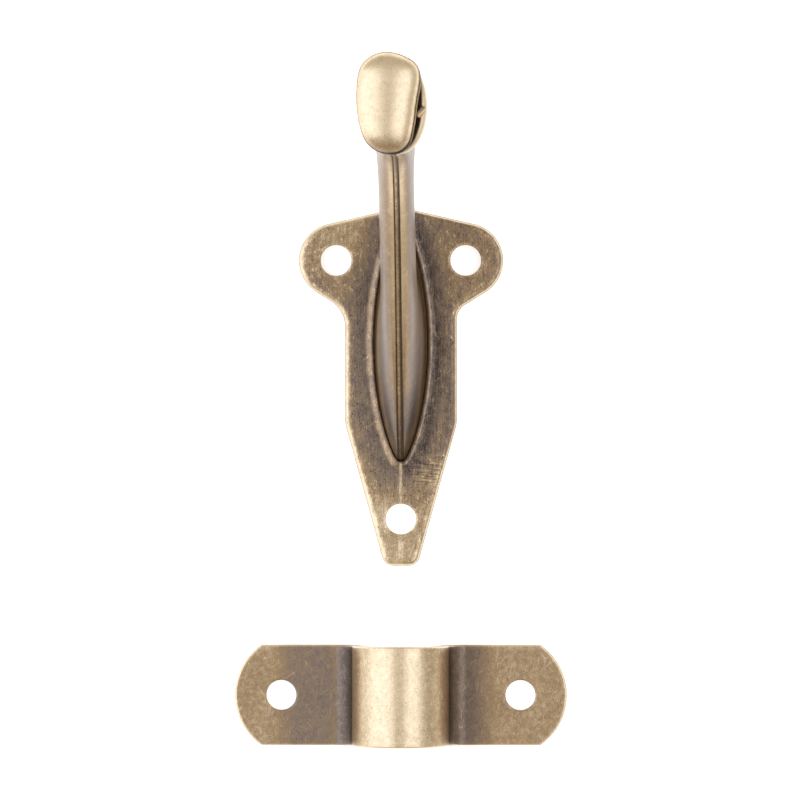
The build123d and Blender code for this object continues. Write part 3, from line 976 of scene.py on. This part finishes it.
def add_node(tree, kind, settings=(), **inputs):
    """Adds a node. A socket given as an input is linked, and anything else is set as its value."""
    made = tree.nodes.new(kind)
    for key, value in dict(settings).items():
        setattr(made, key, value)
    for key, value in inputs.items():
        socket = made.inputs[int(key[1:])] if key[1:].isdigit() else made.inputs[key.replace("_", " ")]
        if isinstance(value, bpy.types.NodeSocket):
            tree.links.new(value, socket)
        else:
            socket.default_value = value
    return made


def calculate(tree, operation, a, b):
    """One Math node."""
    return add_node(tree, "ShaderNodeMath", {"operation": operation}, _0=a, _1=b).outputs[0]


def add_product(tree, base, a, b):
    """The base with the product of a and b added to it."""
    return calculate(tree, "ADD", base, calculate(tree, "MULTIPLY", a, b))


def ramp(tree, value, low, high, start=0.0, end=1.0):
    """Goes in a straight line from start to end as value goes from low to high, and stays there."""
    settings = {"interpolation_type": "LINEAR"}
    inputs = {"Value": value, "From_Min": low, "From_Max": high, "To_Min": start, "To_Max": end}
    return add_node(tree, "ShaderNodeMapRange", settings, **inputs).outputs[0]


def mix(tree, share, first, second):
    """Mixes two colours."""
    return add_node(tree, "ShaderNodeMixRGB", Fac=share, Color1=first, Color2=second).outputs[0]


def surface_place(tree):
    """Place of each point of the surface, in metres in the CAD model's frame."""
    return add_node(tree, "ShaderNodeTexCoord").outputs["Object"]


def grain(tree, size, stretch=(1, 1, 1), turn=0.0, detail=3.0, shift=0.0):
    """Noise, about 0.5 on average, with features of a size in mm, stretched and turned in the plane."""
    turned_place = add_node(
        tree,
        "ShaderNodeMapping",
        Vector=surface_place(tree),
        Location=(shift, shift, shift),
        Rotation=(0, 0, math.radians(turn)),
    ).outputs[0]
    sizes = tuple(1 / (MM * size * along) for along in stretch)
    scaled = add_node(tree, "ShaderNodeMapping", Vector=turned_place, Scale=sizes).outputs[0]
    noise = add_node(tree, "ShaderNodeTexNoise", Vector=scaled, Scale=1.0, Detail=detail, Roughness=0.6)
    return noise.outputs[0]


def mark(tree, name):
    """A mark painted on the mesh's points: 0 where it is absent and about 1 where it is strong."""
    return add_node(tree, "ShaderNodeAttribute", {"attribute_name": name}).outputs["Fac"]


def total(tree, *terms):
    """Adds up (value, weight, middle) terms, each counted from its middle."""
    found = 0.0
    for value, weight, middle in terms:
        found = add_product(tree, found, calculate(tree, "SUBTRACT", value, middle), weight)
    return found


def scratches(tree, turn, shift):
    """Thin light scratches in one direction, broken up by larger noise."""
    lines = ramp(tree, grain(tree, 0.16, (1, 32, 1), turn, 1.0, shift), 0.63, 0.71)
    gaps = ramp(tree, grain(tree, 2.2, turn=turn, detail=1.0, shift=shift + 0.3), 0.5, 0.62)
    return calculate(tree, "MULTIPLY", lines, gaps)


def antique_brass(name, level, specks, grime_and_shade, streak=1.0, drawn=0.0, roughness=0.38, brushed=None):
    """Lacquered antique brass: dark patina in the hollows, rubbed through to bright metal on the edges, with
    painted highlights and painted shade from the marks.

    level is how far the metal shows through, from 0 for patina to 1 for bare brass, specks how mottled
    it is, grime_and_shade how far the grime_and_shade mark (dirt, patina and painted shade) darkens it,
    streak how far the mottling is drawn out along Y, drawn how strong its fine lines along Y are, and
    brushed the middle, in mm, of a patch of brush marks. The wear_and_highlight mark lightens it with wear
    and painted highlights.
    """
    material = bpy.data.materials.new(name)
    material.use_nodes = True
    tree = material.node_tree
    shader = tree.nodes["Principled BSDF"]
    blotches = grain(tree, 5.0, (1, streak, 1))
    mottle = grain(tree, 0.9, (1, streak, 1), detail=4.0, shift=0.1)
    dust = grain(tree, 0.2, (1, streak, 1), detail=2.0, shift=0.2)
    lines = grain(tree, 0.22, (1, 9 * streak, 1), detail=2.0, shift=0.3)
    flecks = ramp(tree, grain(tree, 0.34, (1, 1.6 * streak, 1), detail=2.0, shift=0.4), 0.6, 0.7)
    pits = ramp(tree, grain(tree, 0.3, detail=1.0, shift=0.9), 0.36, 0.28)
    mottling = total(
        tree,
        (blotches, 0.45, 0.5),
        (mottle, 0.85, 0.5),
        (dust, 0.8, 0.5),
        (flecks, 0.42, 0.1),
        (pits, -0.4, 0.03),
    )
    specked = ramp(tree, mark(tree, "grime_and_shade"), 0.0, 1.0, specks, SPECKS_WHERE_DARKENED * specks)
    metal = total(
        tree,
        (lines, drawn, 0.5),
        (mark(tree, "wear_and_highlight"), 0.6, 0.0),
        (mark(tree, "grime_and_shade"), -grime_and_shade, 0.0),
        (mark(tree, "groove"), -0.45, 0.0),
    )
    metal = add_product(tree, metal, mottling, specked)
    metal = calculate(tree, "ADD", metal, level)
    for turn, shift in SCRATCH_TURNS:
        metal = add_product(tree, metal, scratches(tree, turn, shift), SCRATCH_STRENGTH)
    if brushed:
        middle = tuple(value * MM for value in brushed)
        distance = {"operation": "DISTANCE"}
        away = add_node(tree, "ShaderNodeVectorMath", distance, _0=surface_place(tree), _1=middle)
        patch = ramp(tree, away.outputs["Value"], BRUSHED_REACH[0] * MM, BRUSHED_REACH[1] * MM)
        strokes = grain(tree, 0.24, (14, 1, 1), turn=3.0, detail=2.0, shift=0.8)
        metal = add_product(tree, metal, total(tree, (strokes, 1.6, 0.46)), patch)
    across = add_node(tree, "ShaderNodeSeparateXYZ", Vector=surface_place(tree)).outputs["X"]
    left_to_right = ramp(tree, across, DULL_SIDES_X[0] * MM, DULL_SIDES_X[1] * MM)
    # Painted light and shade: the dull colour is lighter and greyer on the left, darker and browner on the
    # right.
    dull = mix(tree, left_to_right, DULL_LIT_LEFT, DULL_SHADED_RIGHT)
    colour = mix(tree, ramp(tree, metal, 0.0, PATINA_END), PATINA, dull)
    colour = mix(tree, ramp(tree, metal, PATINA_END, DULL_END), colour, TARNISH)
    colour = mix(tree, ramp(tree, metal, DULL_END, 1.0), colour, BRASS)
    colour = mix(tree, calculate(tree, "MULTIPLY", mark(tree, "groove"), SEAM_SHARE), colour, SEAM_BROWN)
    tree.links.new(colour, shader.inputs["Base Color"])
    shader.inputs["Metallic"].default_value = 1.0
    dullness = ramp(tree, metal, 0.0, 1.0, roughness + 0.06, roughness - 0.04)
    tree.links.new(dullness, shader.inputs["Roughness"])
    shader.inputs["Coat Weight"].default_value = 0.35
    shader.inputs["Coat Roughness"].default_value = 0.3
    shader.inputs["Coat IOR"].default_value = 1.5
    height = total(tree, (mottle, 0.6, 0.5), (dust, 0.5, 0.5), (blotches, 1.0, 0.5))
    bump = add_node(tree, "ShaderNodeBump", Height=height, Strength=0.35, Distance=0.06 * MM).outputs[0]
    tree.links.new(bump, shader.inputs["Normal"])
    return material


# ---------------------------------------------------------------- studio


def softbox(name, lean, size):
    """Cool white area light that faces the object, leaning by an angle from overhead to the right."""
    light = bpy.data.lights.new(name, "AREA")
    light.color = SOFTBOX_TINT
    light.shape = "RECTANGLE"
    light.size, light.size_y = size
    light.energy = SOFTBOX_RADIANCE * math.pi * size[0] * size[1]
    lamp = bpy.data.objects.new(name, light)
    lean = math.radians(lean)
    lamp.location = (SOFTBOX_DISTANCE * math.sin(lean), VIEW_Y * MM, SOFTBOX_DISTANCE * math.cos(lean))
    lamp.rotation_euler = (0, lean, 0)
    bpy.context.scene.collection.objects.link(lamp)


def studio():
    """White table, two softboxes, pale surroundings and a camera that looks almost straight down."""
    scene = bpy.context.scene
    scene.view_settings.view_transform = "Standard"
    world = bpy.data.worlds.new("pale_room")
    world.use_nodes = True
    world.node_tree.nodes["Background"].inputs["Color"].default_value = ROOM_COLOUR
    scene.world = world
    softbox("left_softbox", LEFT_SOFTBOX_LEAN, LEFT_SOFTBOX_SIZE)
    softbox("right_softbox", RIGHT_SOFTBOX_LEAN, RIGHT_SOFTBOX_SIZE)
    signs = ((-1, -1), (1, -1), (1, 1), (-1, 1))
    mesh = bpy.data.meshes.new("table")
    mesh.from_pydata([(x * TABLE_HALF, y * TABLE_HALF, TABLE_Z) for x, y in signs], [], [(0, 1, 2, 3)])
    table = bpy.data.objects.new("table", mesh)
    scene.collection.objects.link(table)
    white = bpy.data.materials.new("white_table")
    white.use_nodes = True
    shader = white.node_tree.nodes["Principled BSDF"]
    shader.inputs["Base Color"].default_value = TABLE_COLOUR
    shader.inputs["Roughness"].default_value = 0.9
    shader.inputs["Emission Color"].default_value = (1, 1, 1, 1)
    shader.inputs["Emission Strength"].default_value = TABLE_GLOW
    mesh.materials.append(white)
    camera = bpy.data.cameras.new("camera")
    camera.sensor_width = SENSOR_WIDTH
    camera.lens = SENSOR_WIDTH * EYE_HEIGHT / VIEW_WIDTH
    eye = bpy.data.objects.new("camera", camera)
    eye.location = (EYE_X * MM, VIEW_Y * MM, EYE_HEIGHT * MM)
    eye.rotation_euler = (0, math.atan2(EYE_X - VIEW_X, EYE_HEIGHT), 0)
    scene.collection.objects.link(eye)
    scene.camera = eye


wall_plate(antique_brass("plate_brass", 0.48, 1.0, 0.27, streak=1.7, drawn=0.4, brushed=(6.4, -40.7, 2.0)))
arm_brass = antique_brass("arm_brass", 0.27, 0.3, 0.13, streak=2.0)
arm_shell("arm_right_skin", "arm_right_shell", 1, arm_brass)
arm_shell("arm_left_skin", "arm_left_shell", -1, arm_brass)
tie_tab(arm_brass)
arm_core(antique_brass("web_brass", 0.58, 0.7, 0.4, streak=1.5))
end_cap(antique_brass("cap_brass", 0.36, 0.45, 0.55, roughness=0.4))
rail_strap(antique_brass("strap_brass", 0.55, 0.55, 0.36, streak=1.2))
studio()
